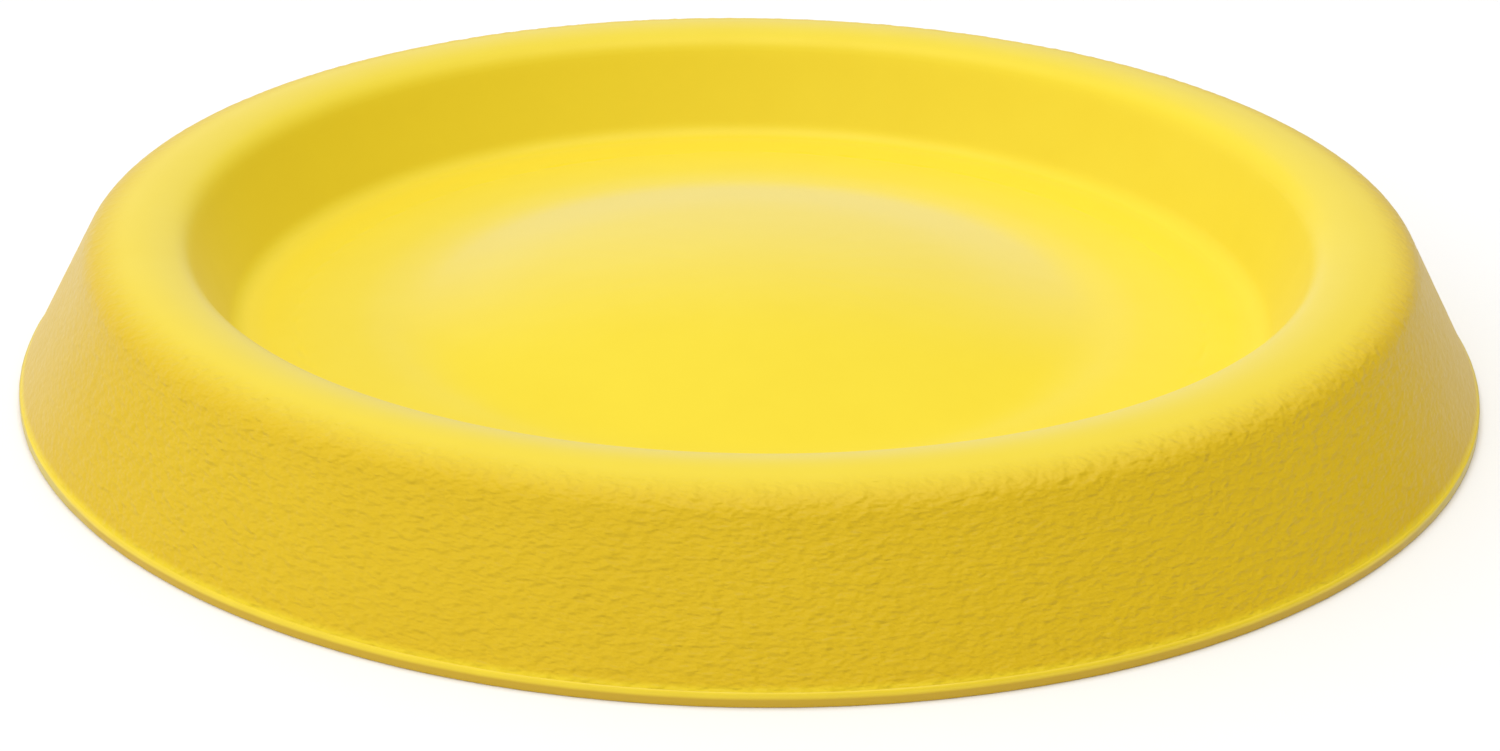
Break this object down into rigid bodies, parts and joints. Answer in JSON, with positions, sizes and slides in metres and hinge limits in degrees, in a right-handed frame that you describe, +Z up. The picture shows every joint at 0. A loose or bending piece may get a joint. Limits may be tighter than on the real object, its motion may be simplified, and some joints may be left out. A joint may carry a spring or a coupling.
{
  "type": "flying disc",
  "caption": "Soft coated-foam flying disc with a sloping skirt, a rounded rim, a sunken floor with a low dome and a bead round the base.",
  "frame": {"origin": "middle of the base, on the plane that the disc rests on", "axes": "+Z up along the disc's axis; X and Y are any two directions across it"},
  "size_m": [0.25, 0.25, 0.0266],
  "materials": {
    "upper_coat": "satin yellow polyurethane coat, smooth on the crown and inside, fine leather grain on the skirt",
    "lower_coat": "satin yellow polyurethane coat with a fine leather grain",
    "seam_bead": "smooth yellow polyurethane, rounded outer edge",
    "foam": "open matt pale yellow polyurethane foam, not seen"
  },
  "bodies": {
    "root": {"upper_skin": "upper_coat", "lower_skin": "lower_coat", "edge_bead": "seam_bead", "foam_core": "foam"}
  },
  "joints": []
}
